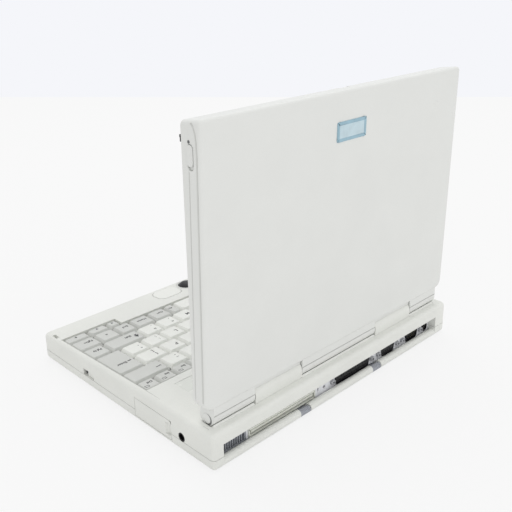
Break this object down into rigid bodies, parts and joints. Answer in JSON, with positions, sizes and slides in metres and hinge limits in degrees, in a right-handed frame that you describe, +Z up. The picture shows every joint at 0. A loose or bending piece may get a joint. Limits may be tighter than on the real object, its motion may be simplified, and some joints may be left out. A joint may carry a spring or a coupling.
{
  "type": "laptop",
  "caption": "Small notebook computer with a hinged lid, full keyboard, front trackball, rear connector bay and removable battery.",
  "frame": {"origin": "on the desk under the middle of the base", "axes": "+X to the user's right along the long side, +Y from the user to the rear connectors, +Z up"},
  "size_m": [0.2622, 0.2068, 0.2243],
  "materials": {
    "shell_light": "fine textured off-white moulding",
    "shell_lid": "fine textured pale grey moulding",
    "key_light": "smooth off-white key plastic",
    "key_grey": "smooth pale grey key plastic",
    "black_plastic": "satin black plastic",
    "grey_plastic": "mid grey plastic",
    "dark_plastic": "dark grey plastic",
    "ivory_plastic": "ivory insulating plastic",
    "ball_black": "polished black ball",
    "badge_blue": "plain blue plate",
    "steel": "plated steel",
    "tin_sheet": "tinned sheet",
    "aluminium": "cast aluminium",
    "board_green": "green circuit board",
    "rubber": "soft dark rubber",
    "glass": "clear display cover",
    "screen_dark": "switched-off liquid crystal",
    "display_pale": "pale reflective liquid crystal under a clear cover"
  },
  "bodies": {
    "base": {"lower_shell": "shell_light", "upper_shell": "shell_light", "rubber_feet": "rubber", "case_screws": "steel", "rear_plate": "shell_light", "main_board": "board_green", "heat_spreader": "aluminium", "hard_disk": "aluminium", "card_cage": "tin_sheet", "speaker": "dark_plastic", "status_panel": "display_pale", "keyboard_frame": "dark_plastic", "trackball_board": "board_green", "trackball_cup": "dark_plastic", "trackball_ring": "key_grey", "parallel_port": "black_plastic", "video_port": "dark_plastic", "serial_port": "steel", "keyboard_port": "steel", "jackscrews": "steel", "docking_connector": "ivory_plastic", "vent_grille": "grey_plastic", "power_jack": "black_plastic", "hinge_brackets": "steel"},
    "lid": {"lid_back_shell": "shell_lid", "lid_bezel": "shell_lid", "display_panel": "screen_dark", "display_window": "glass", "inverter_board": "board_green", "lid_bumpers": "rubber", "lid_badge": "badge_blue", "hinge_arms": "steel"},
    "latch_right": {"latch_button_right": "shell_lid", "latch_hook_right": "black_plastic"},
    "latch_left": {"latch_button_left": "shell_lid", "latch_hook_left": "black_plastic"},
    "battery": {"battery_pack": "dark_plastic", "battery_cap": "shell_light"},
    "card_flap": {"card_door": "shell_light"},
    "card_ejector": {"eject_button": "key_grey"},
    "power_key": {"power_button": "key_grey"},
    "ball": {"trackball": "ball_black"},
    "pitch_roller": {"roller_pitch": "steel"},
    "roll_roller": {"roller_roll": "steel"},
    "click_right": {"mouse_button_right": "key_light"},
    "click_left": {"mouse_button_left": "key_light"},
    "foot_right": {"tilt_foot_right": "grey_plastic"},
    "foot_left": {"tilt_foot_left": "grey_plastic"},
    "key_function": {"keys_function": "key_grey"},
    "key_number": {"keys_number": "key_light"},
    "key_upper": {"keys_upper": "key_light"},
    "key_home": {"keys_home": "key_light"},
    "key_lower": {"keys_lower": "key_light"},
    "key_bottom": {"keys_bottom": "key_grey"},
    "key_enter": {"keys_enter": "key_grey"},
    "key_space": {"keys_space": "key_light"},
    "key_arrow_up": {"keys_arrow_up": "key_grey"},
    "key_arrow_left": {"keys_arrow_left": "key_grey"},
    "key_arrow_down": {"keys_arrow_down": "key_grey"},
    "key_arrow_right": {"keys_arrow_right": "key_grey"}
  },
  "joints": [
    {"name": "lid_hinge", "type": "hinge", "parent": "base", "child": "lid", "pos_m": [0, 0.09, 0.0332], "axis": [-1, 0, 0], "range_deg": [-91.6, 45]},
    {"name": "latch_right_slide", "type": "slide", "parent": "lid", "child": "latch_right", "axis": [0, 0, -1], "range_m": [0, 0.0022], "stiffness_N_per_m": 300, "springref_m": -0.001},
    {"name": "latch_left_slide", "type": "slide", "parent": "lid", "child": "latch_left", "axis": [0, 0, -1], "range_m": [0, 0.0022], "stiffness_N_per_m": 300, "springref_m": -0.001},
    {"name": "battery_slide", "type": "slide", "parent": "base", "child": "battery", "axis": [1, 0, 0], "range_m": [0, 0.1]},
    {"name": "card_flap_hinge", "type": "hinge", "parent": "base", "child": "card_flap", "pos_m": [-0.12965, -0.022, 0.0123], "axis": [0, -1, 0], "range_deg": [0, 85], "stiffness_Nm_per_rad": 0.002, "springref_deg": -17.19},
    {"name": "card_eject_push", "type": "slide", "parent": "base", "child": "card_ejector", "axis": [1, 0, 0], "range_m": [0, 0.005], "stiffness_N_per_m": 200, "springref_m": -0.001},
    {"name": "power_push", "type": "slide", "parent": "base", "child": "power_key", "axis": [0, 0, -1], "range_m": [0, 0.001], "stiffness_N_per_m": 400, "springref_m": -0.001},
    {"name": "ball_spin", "type": "hinge", "parent": "base", "child": "ball", "pos_m": [-0.008, -0.091, 0.01711], "axis": [1, 0, 0], "continuous": true},
    {"name": "pitch_roller_spin", "type": "hinge", "parent": "base", "child": "pitch_roller", "pos_m": [-0.008, -0.0802, 0.01711], "axis": [1, 0, 0], "continuous": true},
    {"name": "roll_roller_spin", "type": "hinge", "parent": "base", "child": "roll_roller", "pos_m": [-0.0188, -0.091, 0.01711], "axis": [0, 1, 0], "continuous": true},
    {"name": "click_right_push", "type": "slide", "parent": "base", "child": "click_right", "axis": [0, 0.0335, -0.9994], "range_m": [0, 0.0007], "stiffness_N_per_m": 500, "springref_m": -0.0008},
    {"name": "click_left_push", "type": "slide", "parent": "base", "child": "click_left", "axis": [0, 0.0335, -0.9994], "range_m": [0, 0.0007], "stiffness_N_per_m": 500, "springref_m": -0.0008},
    {"name": "foot_right_hinge", "type": "hinge", "parent": "base", "child": "foot_right", "pos_m": [0.0444, 0.1007, 0.0036], "axis": [1, 0, 0], "range_deg": [0, 95]},
    {"name": "foot_left_hinge", "type": "hinge", "parent": "base", "child": "foot_left", "pos_m": [-0.0372, 0.1007, 0.0036], "axis": [1, 0, 0], "range_deg": [0, 95]},
    {"name": "key_function_push", "type": "slide", "parent": "base", "child": "key_function", "axis": [0, 0.0335, -0.9994], "range_m": [0, 0.0026], "stiffness_N_per_m": 3400, "springref_m": -0.001},
    {"name": "key_number_push", "type": "slide", "parent": "base", "child": "key_number", "axis": [0, 0.0335, -0.9994], "range_m": [0, 0.0026], "stiffness_N_per_m": 2600, "springref_m": -0.001},
    {"name": "key_upper_push", "type": "slide", "parent": "base", "child": "key_upper", "axis": [0, 0.0335, -0.9994], "range_m": [0, 0.0026], "stiffness_N_per_m": 2400, "springref_m": -0.001},
    {"name": "key_home_push", "type": "slide", "parent": "base", "child": "key_home", "axis": [0, 0.0335, -0.9994], "range_m": [0, 0.0026], "stiffness_N_per_m": 2400, "springref_m": -0.001},
    {"name": "key_lower_push", "type": "slide", "parent": "base", "child": "key_lower", "axis": [0, 0.0335, -0.9994], "range_m": [0, 0.0026], "stiffness_N_per_m": 2400, "springref_m": -0.001},
    {"name": "key_bottom_push", "type": "slide", "parent": "base", "child": "key_bottom", "axis": [0, 0.0335, -0.9994], "range_m": [0, 0.0026], "stiffness_N_per_m": 1800, "springref_m": -0.001},
    {"name": "key_enter_push", "type": "slide", "parent": "base", "child": "key_enter", "axis": [0, 0.0335, -0.9994], "range_m": [0, 0.0026], "stiffness_N_per_m": 300, "springref_m": -0.001},
    {"name": "key_space_push", "type": "slide", "parent": "base", "child": "key_space", "axis": [0, 0.0335, -0.9994], "range_m": [0, 0.0026], "stiffness_N_per_m": 300, "springref_m": -0.001},
    {"name": "key_arrow_up_push", "type": "slide", "parent": "base", "child": "key_arrow_up", "axis": [0, 0.0335, -0.9994], "range_m": [0, 0.0026], "stiffness_N_per_m": 200, "springref_m": -0.001},
    {"name": "key_arrow_left_push", "type": "slide", "parent": "base", "child": "key_arrow_left", "axis": [0, 0.0335, -0.9994], "range_m": [0, 0.0026], "stiffness_N_per_m": 200, "springref_m": -0.001},
    {"name": "key_arrow_down_push", "type": "slide", "parent": "base", "child": "key_arrow_down", "axis": [0, 0.0335, -0.9994], "range_m": [0, 0.0026], "stiffness_N_per_m": 200, "springref_m": -0.001},
    {"name": "key_arrow_right_push", "type": "slide", "parent": "base", "child": "key_arrow_right", "axis": [0, 0.0335, -0.9994], "range_m": [0, 0.0026], "stiffness_N_per_m": 200, "springref_m": -0.001}
  ],
  "couplings": [
    {"joint": "pitch_roller_spin", "follows": "ball_spin", "ratio": -6}
  ]
}
